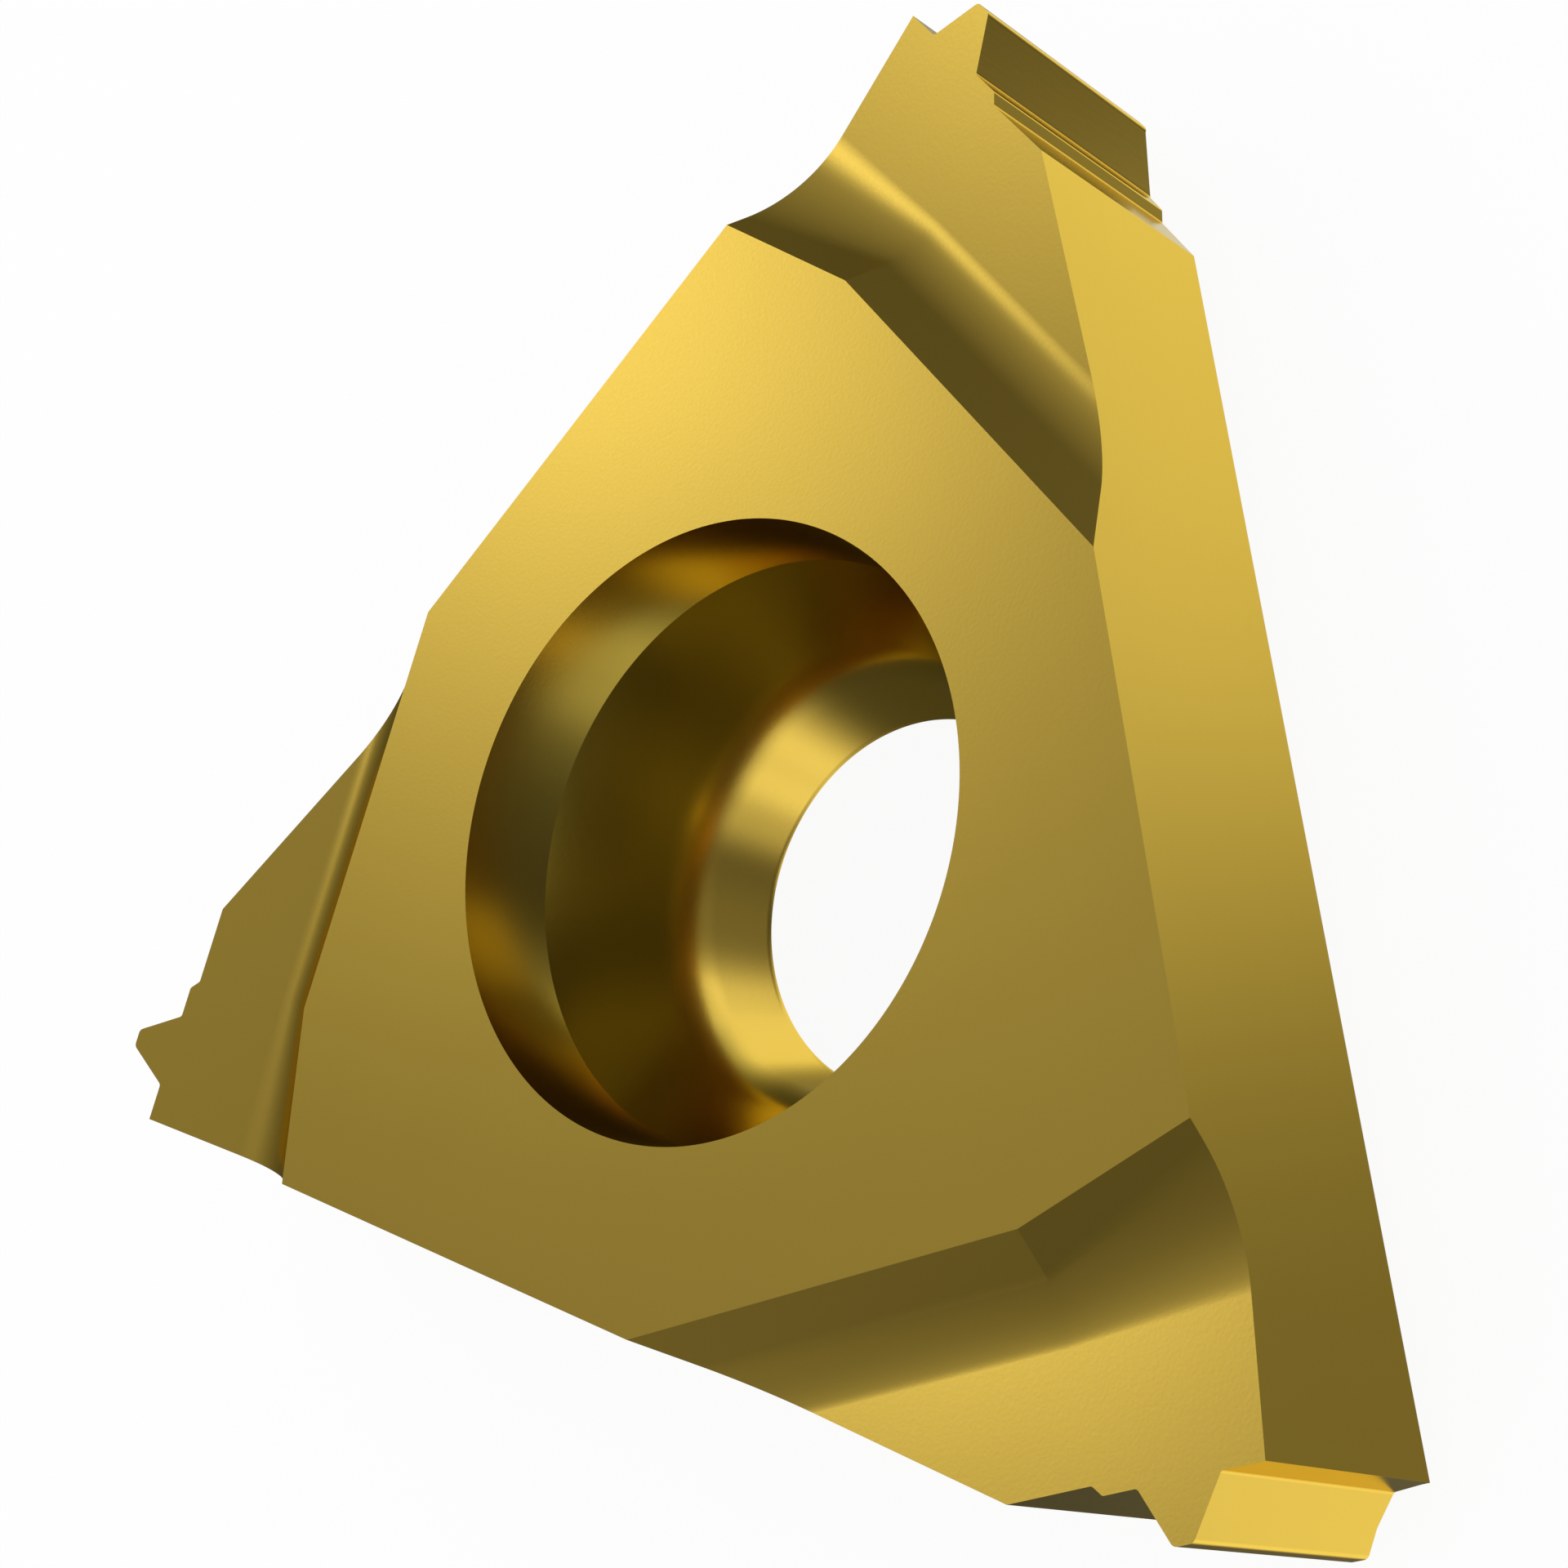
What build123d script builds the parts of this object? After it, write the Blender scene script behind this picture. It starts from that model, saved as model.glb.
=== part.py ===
from build123d import *
import os
from math import cos, radians, sin, tan

# A laydown threading insert of cemented carbide: a flat triangular body with a stepped screw hole and,
# at each of its three corners, one ground 60 degree full-profile thread tooth.
#
# Frame: the origin is on the screw hole's axis, in the plane of the seat that bears on the holder.
# +Z points along the hole to the top face, and +X is the outward normal of one long side face.
# Each corner is drawn in its own axes: "reach" runs parallel to the side face next to the tooth and
# towards the tooth's nose, and "across" runs square to it, towards that side face.
# The crest is the flat edge either side of the tooth, square to the reach: it trims the thread's crest.

# ---- Driving dimensions, millimetres and degrees ----

# Body
CORNERS = 3
INSCRIBED_CIRCLE = 9.525
THICKNESS = 3.65

# Seat side: the foot of the pressed blank is bevelled all round, and its sharp corners are blunted
BEVEL_HEIGHT = 0.60
BEVEL_ANGLE = 35.0
CORNER_TRIM = 1.19

# Thread tooth, a 60 degree form with a flat nose and rounded corners
THREADS_PER_INCH = 28
FLANK_ANGLE = 30.0
CREST_FROM_CORNER = 1.331
TOOTH_FROM_SIDE = 0.80
NOSE_WIDTH = 0.19
NOSE_RADIUS = 0.07
ROOT_RADIUS = 0.05

# Shoulder: a small 45 degree step down, beside the tooth
SHOULDER_FROM_TOOTH = 0.73
SHOULDER_DROP = 0.10
SHOULDER_RADIUS = 0.04

# Chip groove behind the cutting edge
RAKE_ANGLE = 10.0
CREST_BELOW_TOP = 0.27
GROOVE_WIDTH = 2.258
GROOVE_WALL_ANGLE = 42.5
GROOVE_RADIUS = 0.75

# Splay: beside the tooth the groove's wall turns back, and its fillet grows to this radius at the side
SPLAY_WIDTH = 1.80
SPLAY_ANGLE = 15.5
SPLAY_RADIUS = 1.45

# Screw hole, from the top face down
RIM_DIAMETER = 6.17
HEAD_DIAMETER = 5.99
HEAD_DEPTH = 1.10
THROAT_DIAMETER = 4.50
THROAT_DEPTH = 2.55
SCREW_DIAMETER = 4.00
SCREW_LAND = 0.15

# ---- Derived sizes ----

MILLIMETRES_PER_INCH = 25.4
SIDE = INSCRIBED_CIRCLE / 2
CORNER_TURN = 360 / CORNERS
REACH_HEADING = CORNER_TURN / 4
CORNER_HEADING = CORNER_TURN / 2
SHARP_CORNER = SIDE / cos(radians(CORNER_HEADING))
CREST_REACH = SHARP_CORNER * cos(radians(REACH_HEADING)) - CREST_FROM_CORNER
GROOVE_REACH = CREST_REACH - GROOVE_WIDTH

# A thread's sharp triangle is cut off by an eighth of its height at the crest
PITCH = MILLIMETRES_PER_INCH / THREADS_PER_INCH
SHARP_TRIANGLE = PITCH / 2 / tan(radians(FLANK_ANGLE))
CREST_TRUNCATION = 1 / 8
TOOTH_HEIGHT = SHARP_TRIANGLE * (1 - CREST_TRUNCATION)
TOOTH_HALF_WIDTH = TOOTH_HEIGHT * tan(radians(FLANK_ANGLE))
TOOTH_ACROSS = SIDE - TOOTH_FROM_SIDE
NOSE_REACH = CREST_REACH + TOOTH_HEIGHT - NOSE_WIDTH / 2 / tan(radians(FLANK_ANGLE))

# Cutting tools run this far past the body, so that no face of theirs lies on one of its own
CLEAR = INSCRIBED_CIRCLE
SPLAY_OVERRUN = SPLAY_WIDTH / 2


def turned(shape, corner):
    """One shape, drawn in a corner's own axes, turned to its place at that corner."""
    return Rot(Z=REACH_HEADING + corner * CORNER_TURN) * shape


def far_side_across(reach):
    """How far across the side face that lies beyond the shoulder is, at a given reach."""
    heading = radians(REACH_HEADING)
    return (reach * cos(heading) - SIDE) / sin(heading)


def profile_points():
    """The ground edge of one corner, in order from the far side face to the one next to the tooth."""
    shoulder_across = TOOTH_ACROSS - SHOULDER_FROM_TOOTH
    shoulder_reach = CREST_REACH - SHOULDER_DROP
    return {
        "far_end": (shoulder_reach, far_side_across(shoulder_reach)),
        "shoulder_foot": (shoulder_reach, shoulder_across - SHOULDER_DROP),
        "shoulder_top": (CREST_REACH, shoulder_across),
        "inner_root": (CREST_REACH, TOOTH_ACROSS - TOOTH_HALF_WIDTH),
        "inner_nose": (NOSE_REACH, TOOTH_ACROSS - NOSE_WIDTH / 2),
        "outer_nose": (NOSE_REACH, TOOTH_ACROSS + NOSE_WIDTH / 2),
        "outer_root": (CREST_REACH, TOOTH_ACROSS + TOOTH_HALF_WIDTH),
        "near_end": (CREST_REACH, SIDE),
    }


CORNER_RADII = {
    "shoulder_foot": SHOULDER_RADIUS,
    "shoulder_top": SHOULDER_RADIUS,
    "inner_root": ROOT_RADIUS,
    "inner_nose": NOSE_RADIUS,
    "outer_nose": NOSE_RADIUS,
    "outer_root": ROOT_RADIUS,
}


def ground_outline():
    """The insert's plan: three long sides, and the ground profile with its small radii at each corner."""
    names = []
    places = []
    for corner in range(CORNERS):
        for name, (reach, across) in profile_points().items():
            names.append(name)
            places.append(turned(Vertex(reach, across, 0), corner).center())
    outline = Polygon(*[(place.X, place.Y) for place in places], align=None)
    for name, place in zip(names, places):
        if name in CORNER_RADII:
            vertex = outline.vertices().sort_by_distance(place)[0]
            outline = fillet(vertex, CORNER_RADII[name])
    return outline


def blank_plan(inset):
    """The pressed blank's plan, a triangle with blunt corners, drawn in by an inset on every side."""
    sides = RegularPolygon(SIDE - inset, CORNERS, major_radius=False, rotation=CORNER_HEADING)
    blunt_corners = RegularPolygon(SHARP_CORNER - CORNER_TRIM - inset, CORNERS, major_radius=False)
    return (sides & blunt_corners).face()


def ground_body():
    """Upright ground walls, standing on the pressed blank's bevelled foot."""
    outline = ground_outline()
    walls = extrude(Pos(0, 0, BEVEL_HEIGHT) * outline, THICKNESS - BEVEL_HEIGHT)
    bevel_run = BEVEL_HEIGHT / tan(radians(BEVEL_ANGLE))
    foot = loft([blank_plan(bevel_run), Pos(0, 0, BEVEL_HEIGHT) * blank_plan(0)], ruled=True)
    return walls + (foot & extrude(outline, THICKNESS))


def rake_height(reach):
    """Height of the rake plane, which rises towards the nose."""
    return THICKNESS - CREST_BELOW_TOP + (reach - CREST_REACH) * tan(radians(RAKE_ANGLE))


def groove_section(across, start, radius):
    """A section of the groove, square to the side face and a given way across.

    Its wall falls from the top face at the start reach and meets the rake plane in a fillet.
    """
    wall_slope = tan(radians(GROOVE_WALL_ANGLE))
    rake_slope = tan(radians(RAKE_ANGLE))
    foot_reach = start + (THICKNESS - rake_height(start)) / (wall_slope + rake_slope)
    far_reach = CREST_REACH + CLEAR
    foot = (foot_reach, rake_height(foot_reach))
    section = Polygon(
        foot,
        (far_reach, rake_height(far_reach)),
        (far_reach, THICKNESS + CLEAR),
        (start - CLEAR / wall_slope, THICKNESS + CLEAR),
        align=None,
    )
    corner = section.vertices().sort_by_distance(foot)[0]
    plane = Plane(origin=(0, across, 0), x_dir=(1, 0, 0), z_dir=(0, -1, 0))
    return plane * fillet(corner, radius)


def chip_groove():
    """The groove of one corner as a tool: a straight run, and the splay, which carries on past the side."""
    splay_run = SPLAY_WIDTH + SPLAY_OVERRUN
    wall_turned_back = splay_run * tan(radians(SPLAY_ANGLE))
    radius_grown = (SPLAY_RADIUS - GROOVE_RADIUS) * splay_run / SPLAY_WIDTH
    narrow = groove_section(SIDE - SPLAY_WIDTH, GROOVE_REACH, GROOVE_RADIUS)
    wide = groove_section(
        SIDE + SPLAY_OVERRUN,
        GROOVE_REACH - wall_turned_back,
        GROOVE_RADIUS + radius_grown,
    )
    return extrude(narrow, CLEAR) + loft([narrow.face(), wide.face()], ruled=True)


def screw_hole():
    """The stepped hole as a turned tool: head recess, cone, tapered neck and a short parallel land."""
    section = Polyline(
        (0, -CLEAR),
        (SCREW_DIAMETER / 2, -CLEAR),
        (SCREW_DIAMETER / 2, SCREW_LAND),
        (THROAT_DIAMETER / 2, THICKNESS - THROAT_DEPTH),
        (HEAD_DIAMETER / 2, THICKNESS - HEAD_DEPTH),
        (RIM_DIAMETER / 2, THICKNESS),
        (RIM_DIAMETER / 2, THICKNESS + CLEAR),
        (0, THICKNESS + CLEAR),
        close=True,
    )
    return revolve(Plane.XZ * make_face(section), Axis.Z)


def threading_insert():
    """The whole insert, one solid."""
    insert = ground_body()
    groove = chip_groove()
    for corner in range(CORNERS):
        insert -= turned(groove, corner)
    insert -= screw_hole()
    return insert


os.makedirs("parts", exist_ok=True)
export_step(threading_insert(), "parts/threading_insert.step")
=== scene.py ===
"""A coated carbide threading insert on a pale table, with its coating, its light and its camera."""

import logging
import math
from dataclasses import dataclass, field
from enum import Enum
from typing import Any, Iterable, Sequence, Union

import bmesh
import bpy
from mathutils import Matrix, Vector


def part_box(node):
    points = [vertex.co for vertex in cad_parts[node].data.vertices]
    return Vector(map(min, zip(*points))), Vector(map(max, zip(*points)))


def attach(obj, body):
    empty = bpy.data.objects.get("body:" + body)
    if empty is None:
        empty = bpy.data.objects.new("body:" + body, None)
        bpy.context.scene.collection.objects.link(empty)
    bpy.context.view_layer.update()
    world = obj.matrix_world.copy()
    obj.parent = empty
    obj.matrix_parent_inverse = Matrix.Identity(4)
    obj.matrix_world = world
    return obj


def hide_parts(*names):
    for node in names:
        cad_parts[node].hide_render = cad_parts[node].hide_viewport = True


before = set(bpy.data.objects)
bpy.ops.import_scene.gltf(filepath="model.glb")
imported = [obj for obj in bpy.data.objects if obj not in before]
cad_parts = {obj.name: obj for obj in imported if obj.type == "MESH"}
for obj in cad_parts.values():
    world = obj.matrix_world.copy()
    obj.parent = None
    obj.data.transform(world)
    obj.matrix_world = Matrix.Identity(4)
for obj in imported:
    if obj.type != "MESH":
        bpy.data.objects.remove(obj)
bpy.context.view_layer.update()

LOG = logging.getLogger("threading_insert")
NODE = "threading_insert"
BODY = "root"

# The insert is drawn in millimetres, as its maker would, and brought to metres when its mesh is whole
METRES_PER_MM = 0.001
FULL_TURN = 2 * math.pi
WHITE = (1.0, 1.0, 1.0, 1.0)

Number = Union[int, float]
Operand = Union["Wire", Number]
Point2 = tuple[float, float]


# ---- Shader maths ---------------------------------------------------------------------------------


@dataclass
class Wire:
    """One number socket of a shader graph, with arithmetic written as Python expressions."""

    graph: "ShaderGraph"
    socket: bpy.types.NodeSocket

    def _math(self, operation: str, *values: Operand) -> "Wire":
        """Adds a Math node.

        Args:
            operation: the Math node's operation.
            values: its inputs, in order.

        Returns:
            The node's result.
        """
        inputs = dict(enumerate(values))
        return self.graph.node("ShaderNodeMath", {"operation": operation}, inputs)["Value"]

    def __add__(self, other: Operand) -> "Wire":
        """Self plus other."""
        return self._math("ADD", self, other)

    def __radd__(self, other: Operand) -> "Wire":
        """Other plus self."""
        return self._math("ADD", other, self)

    def __sub__(self, other: Operand) -> "Wire":
        """Self minus other."""
        return self._math("SUBTRACT", self, other)

    def __rsub__(self, other: Operand) -> "Wire":
        """Other minus self."""
        return self._math("SUBTRACT", other, self)

    def __mul__(self, other: Operand) -> "Wire":
        """Self times other."""
        return self._math("MULTIPLY", self, other)

    def __rmul__(self, other: Operand) -> "Wire":
        """Other times self."""
        return self._math("MULTIPLY", other, self)

    def at_most(self, limit: Operand) -> "Wire":
        """The smaller of self and a limit."""
        return self._math("MINIMUM", self, limit)

    def at_least(self, limit: Operand) -> "Wire":
        """The larger of self and a limit."""
        return self._math("MAXIMUM", self, limit)

    def exponential(self) -> "Wire":
        """The number e to the power of self."""
        return self._math("EXPONENT", self)


@dataclass(frozen=True)
class NoisePattern:
    """A fractal noise: how many blobs it has to a millimetre, how many finer octaves, and its seed."""

    per_mm: float
    detail: float
    seed: float


@dataclass
class NodeOutputs:
    """A shader node's output sockets, looked up by name."""

    graph: "ShaderGraph"
    node: bpy.types.Node

    def __getitem__(self, name: str) -> Wire:
        """The output of that name that is in use."""
        found = [socket for socket in self.node.outputs if socket.name == name and socket.enabled]
        return Wire(self.graph, found[0])


@dataclass
class ShaderGraph:
    """The node tree of a material or of the world, built from nothing."""

    tree: bpy.types.NodeTree

    def __post_init__(self) -> None:
        """Clears the tree."""
        self.tree.nodes.clear()

    def node(
        self,
        kind: str,
        settings: dict[str, Any] | None = None,
        inputs: dict[Union[int, str], Any] | None = None,
    ) -> NodeOutputs:
        """Adds one node.

        Args:
            kind: the node's type.
            settings: its own properties, set before its sockets.
            inputs: a value or a Wire for each socket, by name or by place.

        Returns:
            The node's outputs.
        """
        made = self.tree.nodes.new(kind)
        for name, value in (settings or {}).items():
            setattr(made, name, value)
        for key, value in (inputs or {}).items():
            socket = self._input(made, key)
            if isinstance(value, Wire):
                self.tree.links.new(value.socket, socket)
            else:
                socket.default_value = value
        return NodeOutputs(self, made)

    @staticmethod
    def _input(made: bpy.types.Node, key: Union[int, str]) -> bpy.types.NodeSocket:
        """Finds an input socket.

        Args:
            made: the node.
            key: the socket's place, or its name.

        Returns:
            The socket. Of several with one name, it is the one in use.
        """
        if isinstance(key, int):
            return made.inputs[key]
        return [socket for socket in made.inputs if socket.name == key and socket.enabled][0]

    def noise(self, at: Wire, pattern: NoisePattern) -> Wire:
        """Fractal noise in space.

        Args:
            at: the place, in millimetres.
            pattern: the noise. Its seed is the fourth coordinate, which tells one noise from another.

        Returns:
            The noise, from 0 to 1.
        """
        settings = {"noise_dimensions": "4D"}
        inputs = {"Vector": at, "W": pattern.seed, "Scale": pattern.per_mm, "Detail": pattern.detail}
        made = self.node("ShaderNodeTexNoise", settings, inputs)
        outputs = [socket for socket in made.node.outputs if socket.type == "VALUE" and socket.enabled]
        return Wire(self, outputs[0])

    def attribute(self, name: str) -> Wire:
        """A number that a mesh carries."""
        return self.node("ShaderNodeAttribute", {"attribute_name": name})["Fac"]

    def scaled(self, at: Wire, factors: Sequence[float]) -> Wire:
        """A place with each of its coordinates multiplied by a factor."""
        inputs = {0: at, 1: tuple(factors)}
        return self.node("ShaderNodeVectorMath", {"operation": "MULTIPLY"}, inputs)["Vector"]

    def along(self, vector: Wire, axis: Sequence[float]) -> Wire:
        """How far a vector reaches along an axis."""
        inputs = {0: vector, 1: tuple(axis)}
        return self.node("ShaderNodeVectorMath", {"operation": "DOT_PRODUCT"}, inputs)["Value"]

    def mixed(self, share: Operand, first: Any, second: Any) -> Wire:
        """A colour between two, by a share from 0 to 1."""
        inputs = {"Factor": share, "A": first, "B": second}
        return self.node("ShaderNodeMix", {"data_type": "RGBA"}, inputs)["Result"]


# ---- Finishes -------------------------------------------------------------------------------------


class Lay(Enum):
    """How a face got its surface, and so which way its finest marks run."""

    PRESSED = "pressed"
    GROUND_ALONG = "ground_along"
    GROUND_UPRIGHT = "ground_upright"


@dataclass(frozen=True)
class CoatingFinish:
    """Gold nitride coating, a few thousandths of a millimetre thick, over pressed or ground carbide.

    The coating copies what lies under it: the carbide's powder grain on pressed faces, and the wheel's
    fine lines on ground ones. Its colour drifts slightly with its thickness. In the screw head's seat
    and on the narrow faces beside each tooth it is painted darker and greener: painted shade for the
    light that is lost between the walls there.
    """

    gold: tuple[float, float, float, float] = (0.860, 0.595, 0.099, 1.0)
    deep_gold: tuple[float, float, float, float] = (0.815, 0.562, 0.092, 1.0)
    # Painted shade: the darker, greener gold of the screw head's seat and the faces beside each tooth
    painted_shade_gold: tuple[float, float, float, float] = (0.505, 0.372, 0.058, 1.0)
    edge_tint: tuple[float, float, float, float] = (0.970, 0.870, 0.500, 1.0)
    pressed_roughness: float = 0.19
    ground_roughness: float = 0.16
    roughness_drift: float = 0.04
    middle_relief: float = 0.5
    cloud: NoisePattern = NoisePattern(per_mm=0.45, detail=1.0, seed=1.0)
    grain: NoisePattern = NoisePattern(per_mm=26.0, detail=1.0, seed=2.0)
    lines: NoisePattern = NoisePattern(per_mm=30.0, detail=2.0, seed=3.0)
    line_stretch: float = 0.05
    bump_height_mm: float = 0.0003
    ground_attribute: str = "ground"
    # The corner attribute that says how much painted shade a place gets
    painted_shade_attribute: str = "painted_shade"
    lay_map: str = "lay"

    def material(self) -> bpy.types.Material:
        """Builds the coating.

        Returns:
            The material, which reads Object coordinates, the lay map and the two attributes.
        """
        made = bpy.data.materials.new("gold_nitride_coating")
        made.use_nodes = True
        graph = ShaderGraph(made.node_tree)
        mm_per_metre = 1 / METRES_PER_MM
        place = graph.node("ShaderNodeTexCoord")["Object"]
        place_mm = graph.scaled(place, (mm_per_metre,) * 3)
        lay = graph.node("ShaderNodeUVMap", {"uv_map": self.lay_map})["UV"]
        ground = graph.attribute(self.ground_attribute)
        painted_shade = graph.attribute(self.painted_shade_attribute)
        cloud = graph.noise(place_mm, self.cloud)
        grain = graph.noise(place_mm, self.grain)
        along_lay = graph.scaled(lay, (self.line_stretch, 1.0, 1.0))
        lines = graph.noise(along_lay, self.lines)
        relief = grain + ground * (lines - grain)
        grinding_change = self.ground_roughness - self.pressed_roughness
        base_roughness = self.pressed_roughness + ground * grinding_change
        roughness = base_roughness + (relief - self.middle_relief) * self.roughness_drift
        bump = graph.node(
            "ShaderNodeBump",
            None,
            {"Strength": 1.0, "Distance": self.bump_height_mm * METRES_PER_MM, "Height": relief},
        )["Normal"]
        outer_gold = graph.mixed(cloud, self.deep_gold, self.gold)
        shader = graph.node(
            "ShaderNodeBsdfPrincipled",
            None,
            {
                # Painted shade: the seat and the faces beside each tooth are painted darker and greener
                "Base Color": graph.mixed(painted_shade, outer_gold, self.painted_shade_gold),
                "Metallic": 1.0,
                "Specular Tint": self.edge_tint,
                "Roughness": roughness,
                "Normal": bump,
            },
        )["BSDF"]
        graph.node("ShaderNodeOutputMaterial", None, {"Surface": shader})
        return made


@dataclass(frozen=True)
class TableFinish:
    """Matt white acrylic of a light table, which glows evenly and still shows a soft shadow."""

    paint: tuple[float, float, float, float] = (0.90, 0.90, 0.90, 1.0)
    glow: tuple[float, float, float, float] = WHITE
    glow_share: float = 0.92

    def material(self) -> bpy.types.Material:
        """Builds the table top.

        Returns:
            The material: what the camera, a gloss or a glass sees of it is mostly its glow.
        """
        made = bpy.data.materials.new("white_acrylic")
        made.use_nodes = True
        graph = ShaderGraph(made.node_tree)
        path = graph.node("ShaderNodeLightPath")
        seen = path["Is Camera Ray"] + path["Is Glossy Ray"] + path["Is Transmission Ray"]
        matt = graph.node("ShaderNodeBsdfDiffuse", None, {"Color": self.paint})["BSDF"]
        glow = graph.node("ShaderNodeEmission", None, {"Color": self.glow, "Strength": 1.0})["Emission"]
        share = seen.at_most(1.0) * self.glow_share
        surface = graph.node("ShaderNodeMixShader", None, {0: share, 1: matt, 2: glow})["Shader"]
        graph.node("ShaderNodeOutputMaterial", None, {"Surface": surface})
        return made


# ---- Plane curves ---------------------------------------------------------------------------------


@dataclass(frozen=True)
class ProfileCorner:
    """One corner of a plane profile, in millimetres, sharp or with a small radius."""

    place: Point2
    radius: float = 0.0
    steps: int = 8

    def points(self, before: Point2, after: Point2) -> list[Point2]:
        """The corner's points on the way from one neighbour to the next.

        Args:
            before: the profile's corner before this one.
            after: the corner after it.

        Returns:
            The corner alone, or an arc tangent to both runs.
        """
        if self.radius == 0.0:
            return [self.place]
        corner = Vector(self.place)
        back = (Vector(before) - corner).normalized()
        onward = (Vector(after) - corner).normalized()
        half_angle = back.angle(onward) / 2
        middle = corner + (back + onward).normalized() * (self.radius / math.sin(half_angle))
        start = corner + back * (self.radius / math.tan(half_angle)) - middle
        end = corner + onward * (self.radius / math.tan(half_angle)) - middle
        sweep = start.angle_signed(end)
        turns = [-sweep * step / self.steps for step in range(self.steps + 1)]
        return [tuple(middle + Matrix.Rotation(turn, 2) @ start) for turn in turns]


def rounded_profile(corners: Sequence[ProfileCorner], closed: bool) -> list[Point2]:
    """Rounds a profile's corners.

    Args:
        corners: the profile, in order.
        closed: whether its last corner is joined to its first.

    Returns:
        Its points, with each radius drawn as an arc.
    """
    made: list[Point2] = []
    last = len(corners) - 1
    for index, corner in enumerate(corners):
        before = corners[index - 1] if index or closed else corner
        after = corners[(index + 1) % len(corners)] if index < last or closed else corner
        made.extend(corner.points(before.place, after.place))
    return made


def regular_sides(distances: Sequence[float], headings: Sequence[float]) -> list[Point2]:
    """Where neighbouring straight sides of a convex plan meet.

    Args:
        distances: each side's distance from the middle.
        headings: the direction that each side faces, in order round the plan, in radians.

    Returns:
        The plan's corners, in the same order.
    """
    made: list[Point2] = []
    for index in range(len(distances)):
        ahead = (index + 1) % len(distances)
        rows = Matrix(
            (
                (math.cos(headings[index]), math.sin(headings[index])),
                (math.cos(headings[ahead]), math.sin(headings[ahead])),
            )
        )
        made.append(tuple(rows.inverted() @ Vector((distances[index], distances[ahead]))))
    return made


def stacked_mesh(name: str, rings: Sequence[Sequence[Vector]]) -> bpy.types.Mesh:
    """Skins a stack of equal rings and closes it at both ends.

    Args:
        name: the mesh's name.
        rings: closed loops with one point count, from the first end to the last.

    Returns:
        A closed mesh whose faces point outwards.
    """
    mesh = bmesh.new()
    loops = [[mesh.verts.new(point) for point in ring] for ring in rings]
    for low, high in zip(loops, loops[1:]):
        for index in range(len(low)):
            ahead = (index + 1) % len(low)
            mesh.faces.new((low[index], low[ahead], high[ahead], high[index]))
    mesh.faces.new(list(reversed(loops[0])))
    mesh.faces.new(loops[-1])
    return finished_mesh(name, mesh)


def finished_mesh(name: str, mesh: bmesh.types.BMesh) -> bpy.types.Mesh:
    """Turns a bmesh into a mesh with its faces outwards, and frees it.

    Args:
        name: the mesh's name.
        mesh: the bmesh.

    Returns:
        The mesh.
    """
    bmesh.ops.recalc_face_normals(mesh, faces=mesh.faces)
    made = bpy.data.meshes.new(name)
    mesh.to_mesh(made)
    mesh.free()
    return made


# ---- The insert -----------------------------------------------------------------------------------


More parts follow.
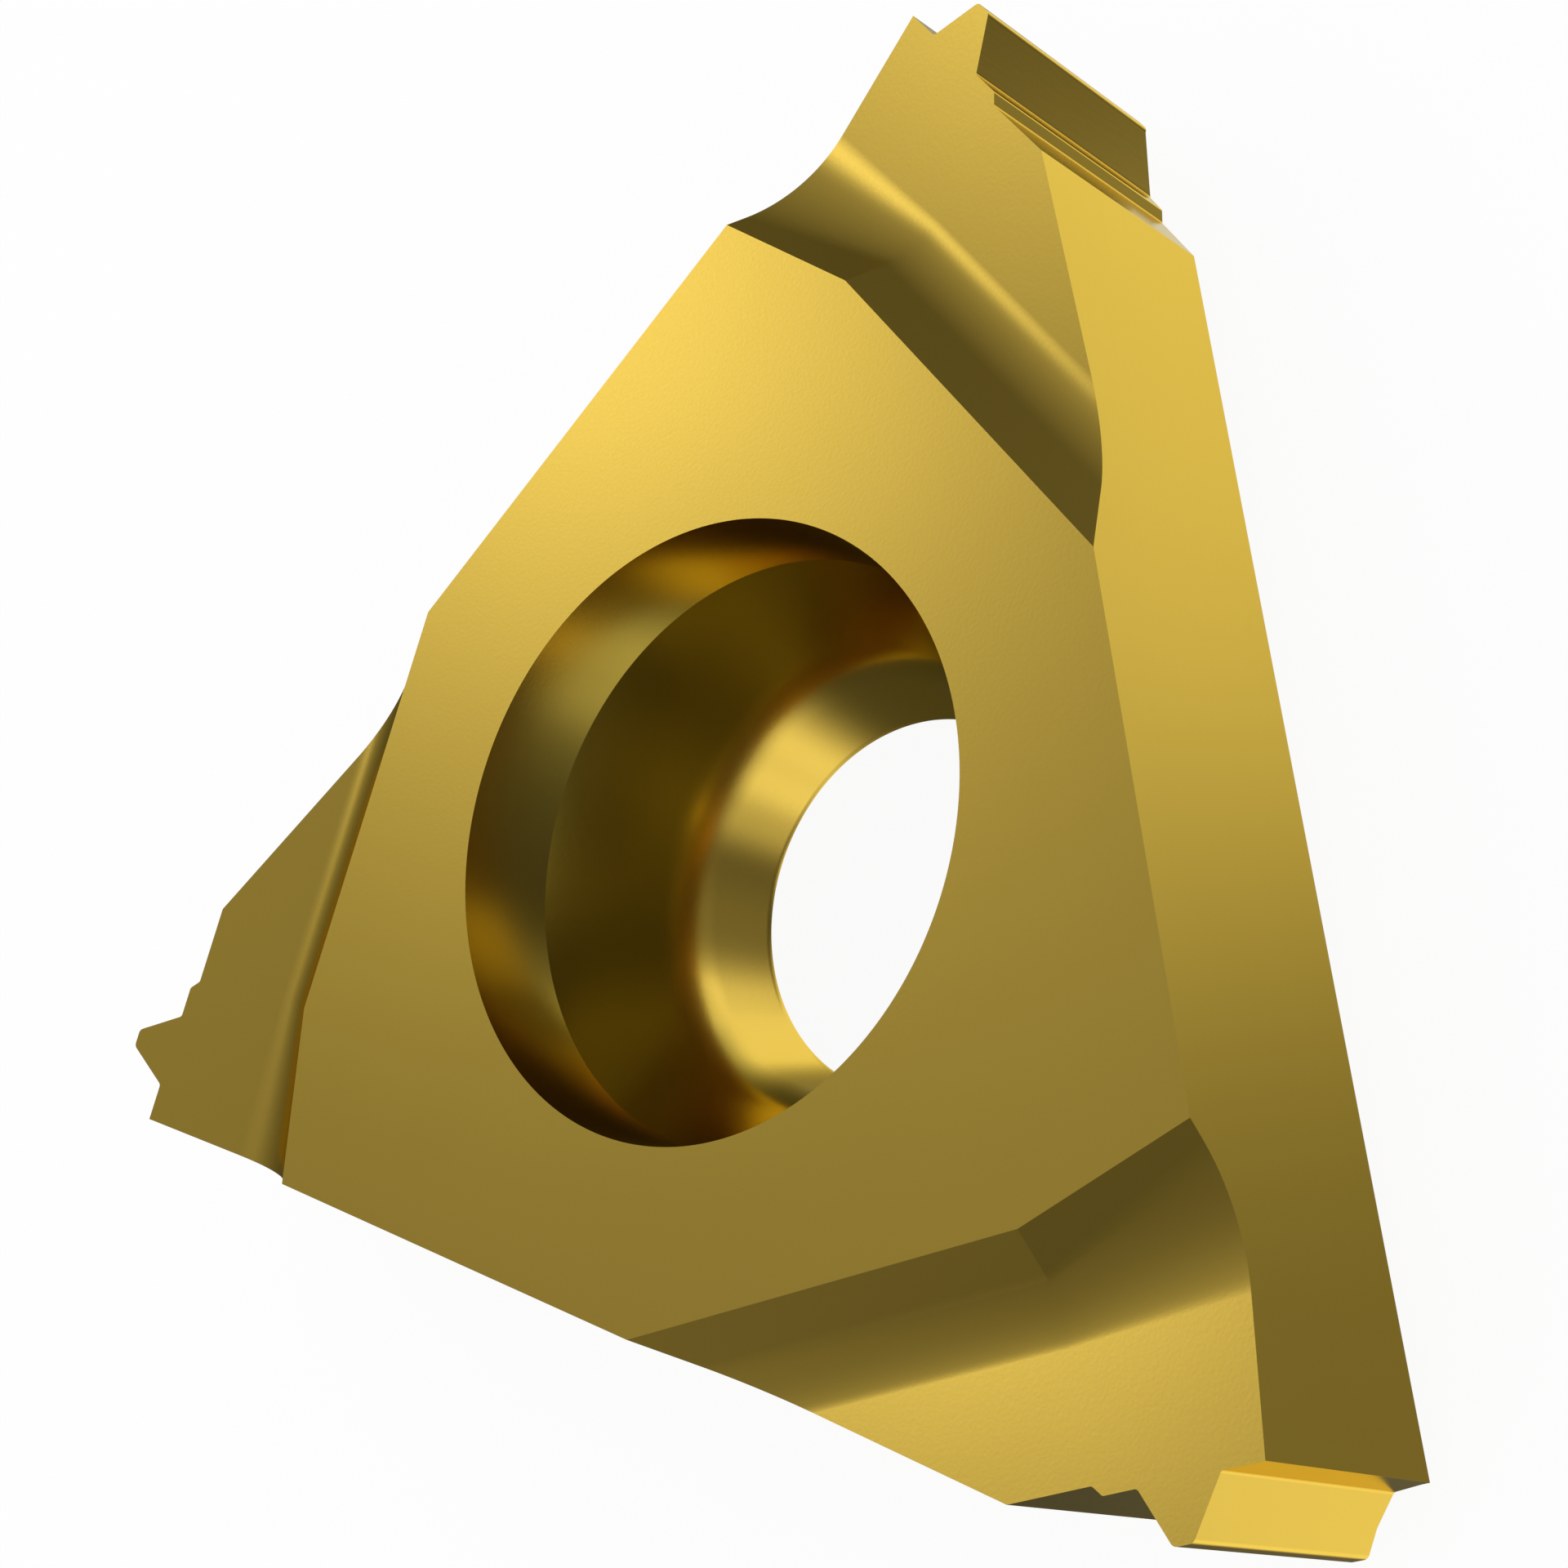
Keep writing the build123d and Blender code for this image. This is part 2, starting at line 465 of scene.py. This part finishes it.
@dataclass
class ThreadingInsert:
    """A triangular laydown threading insert, one piece, in millimetres and radians.

    Each corner is drawn in its own axes: reach runs towards the tooth's nose, parallel to the side face
    next to it, and across runs square to that, towards the side face.
    """

    finish: CoatingFinish
    corners: int = 3
    thickness: float = field(default_factory=lambda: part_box(NODE)[1].z / METRES_PER_MM)
    side: float = 9.525 / 2

    bevel_height: float = 0.60
    bevel_angle: float = math.radians(35.0)
    corner_trim: float = 1.19
    foot_overrun: float = 0.04

    pitch: float = 25.4 / 28
    crest_truncation: float = 1 / 8
    flank_angle: float = math.radians(30.0)
    crest_from_corner: float = 1.331
    tooth_from_side: float = 0.80
    nose_width: float = 0.19
    nose_radius: float = 0.07
    root_radius: float = 0.05
    shoulder_from_tooth: float = 0.73
    shoulder_drop: float = 0.10
    shoulder_radius: float = 0.04

    rake_angle: float = math.radians(10.0)
    crest_below_top: float = 0.27
    groove_width: float = 2.258
    groove_wall_angle: float = math.radians(42.5)
    groove_radius: float = 0.75
    splay_width: float = 1.80
    splay_angle: float = math.radians(15.5)
    splay_radius: float = 1.45

    rim_radius: float = 6.17 / 2
    head_radius: float = 5.99 / 2
    head_depth: float = 1.10
    throat_radius: float = 4.50 / 2
    throat_depth: float = 2.55
    screw_radius: float = 4.00 / 2
    screw_land: float = 0.05
    throat_rounding: float = 3.0
    neck_rounding: float = 0.30

    hone: float = 0.010
    hone_steps: int = 2
    hone_roundness: float = 0.5
    honed_above: float = math.radians(9.0)
    weld_distance: float = 0.00025
    flat_within: float = math.radians(0.02)
    round_steps: int = 240
    fillet_steps: int = 28
    blend_steps: int = 12
    clear: float = 1.0

    # How nearly a face points a way to count as facing it, and the height over which the painted shade
    # fades
    upright_within: float = 0.02
    facing_within: float = 0.01
    level_above: float = 0.9
    painted_shade_fade: float = 0.50

    def __post_init__(self) -> None:
        """Works out the sizes that follow from the driving ones."""
        self.turn = FULL_TURN / self.corners
        self.reach_heading = self.turn / 4
        self.corner_heading = self.turn / 2
        self.sharp_corner = self.side / math.cos(self.corner_heading)
        self.crest_reach = self.sharp_corner * math.cos(self.reach_heading) - self.crest_from_corner
        self.groove_reach = self.crest_reach - self.groove_width
        # A thread's sharp triangle is cut off by a share of its height at the crest
        sharp_triangle = self.pitch / 2 / math.tan(self.flank_angle)
        self.tooth_height = (1 - self.crest_truncation) * sharp_triangle
        self.tooth_half_width = self.tooth_height * math.tan(self.flank_angle)
        self.tooth_across = self.side - self.tooth_from_side
        nose_cut = self.nose_width / 2 / math.tan(self.flank_angle)
        self.nose_reach = self.crest_reach + self.tooth_height - nose_cut

    def corner_profile(self) -> list[ProfileCorner]:
        """The ground edge of one corner.

        Returns:
            Its corners, from the far side face to the one next to the tooth.
        """
        shoulder_across = self.tooth_across - self.shoulder_from_tooth
        shoulder_reach = self.crest_reach - self.shoulder_drop
        far_side = shoulder_reach * math.cos(self.reach_heading) - self.side
        far_across = far_side / math.sin(self.reach_heading)
        half_nose = self.nose_width / 2
        inner_root = self.tooth_across - self.tooth_half_width
        outer_root = self.tooth_across + self.tooth_half_width
        return [
            ProfileCorner((shoulder_reach, far_across)),
            ProfileCorner((shoulder_reach, shoulder_across - self.shoulder_drop), self.shoulder_radius),
            ProfileCorner((self.crest_reach, shoulder_across), self.shoulder_radius),
            ProfileCorner((self.crest_reach, inner_root), self.root_radius),
            ProfileCorner((self.nose_reach, self.tooth_across - half_nose), self.nose_radius),
            ProfileCorner((self.nose_reach, self.tooth_across + half_nose), self.nose_radius),
            ProfileCorner((self.crest_reach, outer_root), self.root_radius),
            ProfileCorner((self.crest_reach, self.side)),
        ]

    def outline(self) -> list[Vector]:
        """The insert's whole plan.

        Returns:
            Its points, anticlockwise from above.
        """
        points = rounded_profile(self.corner_profile(), closed=False)
        made: list[Vector] = []
        for corner in range(self.corners):
            turn = Matrix.Rotation(self.reach_heading + corner * self.turn, 3, "Z")
            made.extend(turn @ Vector((reach, across, 0.0)) for reach, across in points)
        return made

    def blank(self) -> bpy.types.Mesh:
        """The upright prism under the whole plan.

        Returns:
            A closed mesh, from the seat to the top face.
        """
        plan = self.outline()
        rings = [[point + Vector((0, 0, height)) for point in plan] for height in (0.0, self.thickness)]
        return stacked_mesh("insert_blank", rings)

    def foot_plan(self, height: float) -> list[Vector]:
        """The pressed foot's plan at one height.

        Args:
            height: the height above the seat.

        Returns:
            The corners of a triangle with blunt corners.
        """
        inset = (self.bevel_height - height) / math.tan(self.bevel_angle)
        blunt = self.sharp_corner - self.corner_trim
        distances: list[float] = []
        headings: list[float] = []
        for corner in range(self.corners):
            distances += [self.side - inset, blunt - inset]
            headings += [corner * self.turn, corner * self.turn + self.corner_heading]
        return [Vector((*point, height)) for point in regular_sides(distances, headings)]

    def foot_cutter(self) -> bpy.types.Mesh:
        """What bevels the foot.

        Returns:
            A flat ring whose hole is the bevelled foot.
        """
        top = self.foot_plan(self.bevel_height)
        low = self.foot_plan(-self.foot_overrun)
        outward = 1 + self.clear
        wide_top = [Vector((point.x * outward, point.y * outward, point.z)) for point in top]
        wide_low = [Vector((point.x * outward, point.y * outward, low[0].z)) for point in top]
        mesh = bmesh.new()
        loops = [[mesh.verts.new(point) for point in ring] for ring in (low, top, wide_top, wide_low)]
        for first, second in zip(loops, loops[1:] + loops[:1]):
            for index in range(len(first)):
                ahead = (index + 1) % len(first)
                mesh.faces.new((first[index], first[ahead], second[ahead], second[index]))
        return finished_mesh("foot_cutter", mesh)

    def rake_height(self, reach: float) -> float:
        """Height of the rake plane, which rises towards the nose."""
        crest_height = self.thickness - self.crest_below_top
        return crest_height + (reach - self.crest_reach) * math.tan(self.rake_angle)

    def groove_section(self, across: float, start: float, radius: float) -> list[Vector]:
        """A section of the chip groove, square to the side face.

        Args:
            across: where the section lies.
            start: the reach at which the groove's wall leaves the top face.
            radius: the fillet between the wall and the rake plane.

        Returns:
            The section's closed loop, in the first corner's own axes.
        """
        wall_slope = math.tan(self.groove_wall_angle)
        depth = self.thickness - self.rake_height(start)
        foot_reach = start + depth / (wall_slope + math.tan(self.rake_angle))
        far_reach = self.crest_reach + 2 * self.clear
        section = [
            ProfileCorner((start - self.clear / wall_slope, self.thickness + self.clear)),
            ProfileCorner((foot_reach, self.rake_height(foot_reach)), radius, self.fillet_steps),
            ProfileCorner((far_reach, self.rake_height(far_reach))),
            ProfileCorner((far_reach, self.thickness + self.clear)),
        ]
        return [Vector((reach, across, z)) for reach, z in rounded_profile(section, closed=True)]

    def groove_cutter(self) -> bpy.types.Mesh:
        """What cuts one corner's chip groove.

        Returns:
            A straight run, and the splay beside the tooth.
        """
        overrun = self.splay_width / 2
        splay_run = self.splay_width + overrun
        wide_start = self.groove_reach - splay_run * math.tan(self.splay_angle)
        growth = (self.splay_radius - self.groove_radius) * splay_run / self.splay_width
        hinge = self.side - self.splay_width
        rings = [
            self.groove_section(-2 * self.clear, self.groove_reach, self.groove_radius),
            self.groove_section(hinge, self.groove_reach, self.groove_radius),
            self.groove_section(self.side + overrun, wide_start, self.groove_radius + growth),
        ]
        return stacked_mesh("groove_cutter", rings)

    def hole_cutter(self) -> bpy.types.Mesh:
        """What bores the stepped screw hole.

        Returns:
            A turned solid: land, tapered neck, cone and head recess, the first three blended softly.
        """
        steps = self.blend_steps
        throat_height = self.thickness - self.throat_depth
        profile = [
            ProfileCorner((self.screw_radius, -self.clear)),
            ProfileCorner((self.screw_radius, self.screw_land), self.neck_rounding, steps),
            ProfileCorner((self.throat_radius, throat_height), self.throat_rounding, steps),
            ProfileCorner((self.head_radius, self.thickness - self.head_depth)),
            ProfileCorner((self.rim_radius, self.thickness)),
            ProfileCorner((self.rim_radius, self.thickness + self.clear)),
        ]
        turns = [FULL_TURN * step / self.round_steps for step in range(self.round_steps)]
        rings = [
            [Vector((math.cos(turn) * radius, math.sin(turn) * radius, height)) for turn in turns]
            for radius, height in rounded_profile(profile, closed=False)
        ]
        return stacked_mesh("hole_cutter", rings)

    def tree(self) -> bpy.types.NodeTree:
        """The rule that makes the insert: a blank, less its foot's bevel, its hole and its grooves.

        Returns:
            A Geometry Nodes tree with the cutters, the corner count and the coating as inputs.
        """
        tree = bpy.data.node_groups.new("insert_from_cutters", "GeometryNodeTree")
        for name, kind in (
            ("Blank", "NodeSocketGeometry"),
            ("Foot Cutter", "NodeSocketObject"),
            ("Groove Cutter", "NodeSocketObject"),
            ("Hole Cutter", "NodeSocketObject"),
            ("Corners", "NodeSocketInt"),
            ("Coating", "NodeSocketMaterial"),
        ):
            tree.interface.new_socket(name, in_out="INPUT", socket_type=kind)
        tree.interface.new_socket("Insert", in_out="OUTPUT", socket_type="NodeSocketGeometry")
        nodes = tree.nodes
        link = tree.links.new
        given = nodes.new("NodeGroupInput").outputs
        cutters = {}
        for name in ("Foot Cutter", "Groove Cutter", "Hole Cutter"):
            cutters[name] = nodes.new("GeometryNodeObjectInfo")
            link(given[name], cutters[name].inputs["Object"])
        places = nodes.new("GeometryNodePoints")
        link(given["Corners"], places.inputs["Count"])
        index = nodes.new("GeometryNodeInputIndex")
        turn = nodes.new("ShaderNodeMath")
        turn.operation = "DIVIDE"
        turn.inputs[0].default_value = FULL_TURN
        link(given["Corners"], turn.inputs[1])
        heading = nodes.new("ShaderNodeMath")
        heading.operation = "MULTIPLY_ADD"
        heading.inputs[2].default_value = self.reach_heading
        link(index.outputs[0], heading.inputs[0])
        link(turn.outputs[0], heading.inputs[1])
        rotation = nodes.new("ShaderNodeCombineXYZ")
        link(heading.outputs[0], rotation.inputs["Z"])
        grooves = nodes.new("GeometryNodeInstanceOnPoints")
        link(places.outputs[0], grooves.inputs["Points"])
        link(cutters["Groove Cutter"].outputs["Geometry"], grooves.inputs["Instance"])
        link(rotation.outputs[0], grooves.inputs["Rotation"])
        cut = nodes.new("GeometryNodeMeshBoolean")
        cut.operation = "DIFFERENCE"
        cut.solver = "EXACT"
        link(given["Blank"], cut.inputs["Mesh 1"])
        link(cutters["Foot Cutter"].outputs["Geometry"], cut.inputs["Mesh 2"])
        link(grooves.outputs[0], cut.inputs["Mesh 2"])
        link(cutters["Hole Cutter"].outputs["Geometry"], cut.inputs["Mesh 2"])
        realized = nodes.new("GeometryNodeRealizeInstances")
        link(cut.outputs["Mesh"], realized.inputs[0])
        coated = nodes.new("GeometryNodeSetMaterial")
        link(realized.outputs[0], coated.inputs["Geometry"])
        link(given["Coating"], coated.inputs["Material"])
        link(coated.outputs[0], nodes.new("NodeGroupOutput").inputs["Insert"])
        return tree

    def cut_mesh(self, coating: bpy.types.Material) -> bpy.types.Mesh:
        """Runs the tree once on the blank.

        Args:
            coating: the material that the tree sets.

        Returns:
            The insert as a plain mesh, with sharp edges, in millimetres.
        """
        blank = linked_object("insert_blank", self.blank())
        cutters = {
            "Foot Cutter": linked_object("foot_cutter", self.foot_cutter()),
            "Groove Cutter": linked_object("groove_cutter", self.groove_cutter()),
            "Hole Cutter": linked_object("hole_cutter", self.hole_cutter()),
        }
        tree = self.tree()
        modifier = blank.modifiers.new("rule", "NODES")
        modifier.node_group = tree
        values = {**cutters, "Corners": self.corners, "Coating": coating}
        for item in tree.interface.items_tree:
            if item.in_out == "INPUT" and item.name in values:
                modifier[item.identifier] = values[item.name]
        graph = bpy.context.evaluated_depsgraph_get()
        made = bpy.data.meshes.new_from_object(blank.evaluated_get(graph))
        made.polygons.foreach_set("material_index", [0] * len(made.polygons))
        made.materials.clear()
        made.materials.append(coating)
        blank.modifiers.remove(modifier)
        for scratch in (blank, *cutters.values()):
            bpy.data.meshes.remove(scratch.data)
        bpy.data.node_groups.remove(tree)
        return made

    def honed(self, cut: bpy.types.Mesh) -> bpy.types.Mesh:
        """Breaks every sharp edge by the hone's radius.

        Args:
            cut: the insert with sharp edges.

        Returns:
            The same mesh, honed.
        """
        mesh = bmesh.new()
        mesh.from_mesh(cut)
        bmesh.ops.remove_doubles(mesh, verts=mesh.verts, dist=self.weld_distance)
        bmesh.ops.dissolve_degenerate(mesh, dist=self.weld_distance, edges=mesh.edges)
        bmesh.ops.dissolve_limit(
            mesh,
            angle_limit=self.flat_within,
            verts=mesh.verts,
            edges=mesh.edges,
        )
        inner = [edge for edge in mesh.edges if edge.is_manifold]
        sharp = [edge for edge in inner if edge.calc_face_angle() > self.honed_above]
        bmesh.ops.bevel(
            mesh,
            geom=sharp,
            offset=self.hone,
            offset_type="OFFSET",
            segments=self.hone_steps,
            profile=self.hone_roundness,
            affect="EDGES",
            clamp_overlap=True,
        )
        mesh.to_mesh(cut)
        mesh.free()
        return cut

    def lay_of(self, normal: Vector, middle: Vector) -> tuple[Lay, Vector]:
        """How one face was finished.

        Args:
            normal: the face's outward normal.
            middle: its middle, in millimetres.

        Returns:
            The kind of surface, and the direction in which its lines run.
        """
        upright = abs(normal.z) < self.upright_within
        outside = middle.xy.length > self.rim_radius + self.hone
        if upright and outside:
            facing = math.atan2(normal.y, normal.x) / self.turn
            faces_side = abs(facing - round(facing)) < self.facing_within
            if faces_side and normal.xy.dot(middle.xy) < self.side + self.hone:
                return Lay.GROUND_ALONG, Vector((-normal.y, normal.x, 0.0)).normalized()
            return Lay.GROUND_UPRIGHT, Vector((0.0, 0.0, 1.0))
        return Lay.PRESSED, Vector((1.0, 0.0, 0.0))

    def painted_shade_share(self, normal: Vector, point: Vector, kind: Lay) -> float:
        """How much painted shade one corner of a face gets: a darker base colour standing in for shade.

        Args:
            normal: the face's outward normal.
            point: the corner, in millimetres.
            kind: the face's surface.

        Returns:
            1 in the screw head's seat and on the narrow faces beside a tooth, 0 in the open.
        """
        # Painted shade on the narrow faces beside each tooth, and in the hole from just below the throat
        # upward
        if kind is Lay.GROUND_UPRIGHT:
            heading = math.atan2(normal.y, normal.x) - self.reach_heading
            faces_reach = abs(math.remainder(heading, self.turn)) < self.facing_within
            behind_tooth = normal.xy.dot(point.xy) < self.crest_reach + self.hone
            return 1.0 if faces_reach and behind_tooth else 0.0
        in_hole = point.xy.length < self.rim_radius + self.hone and normal.xy.dot(point.xy) < 0
        if not in_hole or abs(normal.z) > self.level_above:
            return 0.0
        fade_start = self.thickness - self.throat_depth - self.painted_shade_fade / 2
        return min(1.0, max(0.0, (point.z - fade_start) / self.painted_shade_fade))

    def map_lay(self, mesh: bpy.types.Mesh) -> None:
        """Gives a mesh its lay map, in millimetres along and across the lines, and its two attributes.

        Args:
            mesh: the honed mesh, in millimetres.
        """
        ground = mesh.attributes.new(self.finish.ground_attribute, "FLOAT", "FACE")
        painted_shade = mesh.attributes.new(self.finish.painted_shade_attribute, "FLOAT", "CORNER")
        lay_map = mesh.uv_layers.new(name=self.finish.lay_map)
        for face in mesh.polygons:
            kind, along = self.lay_of(face.normal, face.center)
            ground.data[face.index].value = 0.0 if kind is Lay.PRESSED else 1.0
            across = face.normal.cross(along)
            for corner in face.loop_indices:
                point = mesh.vertices[mesh.loops[corner].vertex_index].co
                lay_map.data[corner].uv = (point.dot(along), point.dot(across))
                # Each corner's share of painted shade
                painted_shade.data[corner].value = self.painted_shade_share(face.normal, point, kind)

    def build(self) -> bpy.types.Object:
        """Makes the finished insert.

        Returns:
            Its object, at the origin, in metres, standing for the CAD node.
        """
        mesh = self.honed(self.cut_mesh(self.finish.material()))
        self.map_lay(mesh)
        steady_normals(mesh)
        mesh.transform(Matrix.Scale(METRES_PER_MM, 4))
        piece = linked_object("insert", mesh)
        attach(piece, BODY)
        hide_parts(NODE)
        return piece


def linked_object(name: str, mesh: bpy.types.Mesh) -> bpy.types.Object:
    """Puts a mesh in the scene.

    Args:
        name: the name for both.
        mesh: the mesh.

    Returns:
        Its object, at the origin.
    """
    mesh.name = name
    made = bpy.data.objects.new(name, mesh)
    bpy.context.scene.collection.objects.link(made)
    return made


def steady_normals(mesh: bpy.types.Mesh) -> None:
    """Shades a honed mesh so that its large faces stay flat and its hones and arcs turn smoothly.

    Each vertex takes the normals of the faces round it, weighted by the square of their area.

    Args:
        mesh: the mesh, in millimetres.
    """
    sums = [Vector((0.0, 0.0, 0.0)) for _ in mesh.vertices]
    for face in mesh.polygons:
        weight = face.area**2
        for index in face.vertices:
            sums[index] += face.normal * weight
    mesh.polygons.foreach_set("use_smooth", [True] * len(mesh.polygons))
    mesh.normals_split_custom_set_from_vertices([total.normalized() for total in sums])


# ---- The studio -----------------------------------------------------------------------------------


def direction(azimuth: float, elevation: float) -> Vector:
    """A direction as a unit vector.

    Args:
        azimuth: its turn from +X, in degrees.
        elevation: its rise above the table, in degrees.

    Returns:
        The vector.
    """
    turn = math.radians(azimuth)
    rise = math.radians(elevation)
    return Vector((math.cos(turn) * math.cos(rise), math.sin(turn) * math.cos(rise), math.sin(rise)))


@dataclass(frozen=True)
class SoftLight:
    """A soft light or a white card, far off, which fades smoothly towards its edge.

    Its level is its radiance in the middle, where 1 is white. A negative level is a dark cloth.
    """

    azimuth: float
    elevation: float
    spread: float
    level: float

    def seen(self, graph: ShaderGraph, ray: Wire) -> Wire:
        """What it adds to the light that comes from a direction.

        Args:
            graph: the world's graph.
            ray: the direction, a unit vector.

        Returns:
            The radiance.
        """
        sharpness = 1 / math.radians(self.spread) ** 2
        reach = graph.along(ray, direction(self.azimuth, self.elevation))
        return ((reach - 1.0) * sharpness).exponential() * self.level


@dataclass(frozen=True)
class Studio:
    """The table, and the soft studio round it.

    The table takes its light from an even dome. A gloss shows the studio: room, lamps, cards and cloths.
    The studio share is how much of what a gloss sees is the studio. At 0 it sees only the even dome.
    """

    table: TableFinish = TableFinish()
    table_side: float = 0.60
    dome_level: float = 1.0
    room_level: float = 0.07
    card_white: float = 1.05
    studio_share: float = 1.0
    lamps: tuple[SoftLight, ...] = (
        SoftLight(329.0, 63.0, 9.0, 1.50),
        SoftLight(134.8, 40.0, 5.2, 1.20),
        SoftLight(147.0, 40.5, 4.5, 0.10),
        SoftLight(17.2, 10.8, 27.0, 0.68),
        SoftLight(43.8, 6.9, 38.2, -0.40),
        SoftLight(86.9, 27.2, 33.2, 0.26),
        SoftLight(304.4, 42.1, 19.5, 0.16),
        SoftLight(209.4, 22.6, 19.9, 0.13),
        SoftLight(162.2, 54.3, 24.7, 0.12),
        SoftLight(128.1, 45.9, 15.8, 0.12),
    )
    cards: tuple[SoftLight, ...] = (
        SoftLight(72.6, -38.5, 9.7, 2.43),
        SoftLight(39.2, -58.1, 8.3, 1.91),
        SoftLight(46.4, -12.7, 11.0, 1.78),
        SoftLight(275.0, -65.0, 13.1, 1.53),
        SoftLight(36.0, -59.1, 7.0, -1.50),
        SoftLight(106.7, -55.6, 8.4, 1.12),
        SoftLight(299.2, -24.6, 7.7, 0.95),
        SoftLight(334.5, -56.6, 7.9, 0.89),
        SoftLight(274.2, -23.4, 12.0, 1.00),
        SoftLight(318.9, -21.5, 6.9, 0.48),
    )

    def lay_table(self) -> bpy.types.Object:
        """Lays the table top under the seat.

        Returns:
            The table, which is not part of the insert.
        """
        half = self.table_side / 2
        mesh = bmesh.new()
        bmesh.ops.create_grid(mesh, x_segments=1, y_segments=1, size=half)
        made = linked_object("table", finished_mesh("table", mesh))
        made.data.materials.append(self.table.material())
        made.visible_glossy = False
        made.visible_shadow = False
        return made

    def light_room(self) -> None:
        """Lights the scene from all round. The camera, and a glass, see a white background."""
        world = bpy.data.worlds.new("studio")
        bpy.context.scene.world = world
        world.use_nodes = True
        graph = ShaderGraph(world.node_tree)
        path = graph.node("ShaderNodeLightPath")
        background = (path["Is Camera Ray"] + path["Is Transmission Ray"]).at_most(1.0)
        gloss = path["Is Glossy Ray"]
        ray = graph.node("ShaderNodeTexCoord")["Generated"]
        cards: Operand = 0.0
        for card in self.cards:
            cards = cards + card.seen(graph, ray)
        room: Operand = cards.at_most(self.card_white) + self.room_level
        for lamp in self.lamps:
            room = room + lamp.seen(graph, ray)
        even = background + (1.0 - background) * self.dome_level
        level = even + gloss * self.studio_share * (room.at_least(0.0) - even)
        glow = graph.node("ShaderNodeBackground", None, {"Color": WHITE, "Strength": level})
        graph.node("ShaderNodeOutputWorld", None, {"Surface": glow["Background"]})

    def set_up(self) -> None:
        """Lays the table and lights it."""
        self.lay_table()
        self.light_room()


@dataclass(frozen=True)
class CameraStand:
    """The camera: where it looks from, what it looks at and how far it is rolled clockwise."""

    aim_mm: tuple[float, float, float] = (0.046, 0.560, 3.650)
    distance_mm: float = 28.669
    azimuth: float = -34.187
    elevation: float = 46.615
    roll: float = 69.858
    lens: float = 68.161
    sensor_mm: float = 36.0
    shift: tuple[float, float] = (0.0575, -0.0081)
    sees_to: float = 10.0

    def place(self) -> bpy.types.Object:
        """Puts the camera in the scene and makes it the scene's own.

        Returns:
            The camera.
        """
        data = bpy.data.cameras.new("camera")
        data.lens = self.lens
        data.sensor_width = self.sensor_mm
        data.shift_x, data.shift_y = self.shift
        data.clip_start = METRES_PER_MM
        data.clip_end = self.sees_to
        made = bpy.data.objects.new("camera", data)
        back = direction(self.azimuth, self.elevation)
        made.location = (Vector(self.aim_mm) + back * self.distance_mm) * METRES_PER_MM
        level = back.to_track_quat("Z", "Y").to_matrix()
        made.rotation_mode = "QUATERNION"
        rolled = Matrix.Rotation(-math.radians(self.roll), 3, back) @ level
        made.rotation_quaternion = rolled.to_quaternion()
        bpy.context.scene.collection.objects.link(made)
        bpy.context.scene.camera = made
        return made


def main() -> None:
    """Builds the insert, the studio and the camera."""
    logging.basicConfig(level=logging.INFO, format="%(name)s: %(message)s")
    scene = bpy.context.scene
    scene.view_settings.view_transform = "Standard"
    piece = ThreadingInsert(CoatingFinish()).build()
    LOG.info("%s: %d vertices, %d faces", piece.name, len(piece.data.vertices), len(piece.data.polygons))
    Studio().set_up()
    LOG.info("table and studio set up")
    camera = CameraStand().place()
    LOG.info("%s placed", camera.name)


if __name__ == "__main__":
    main()
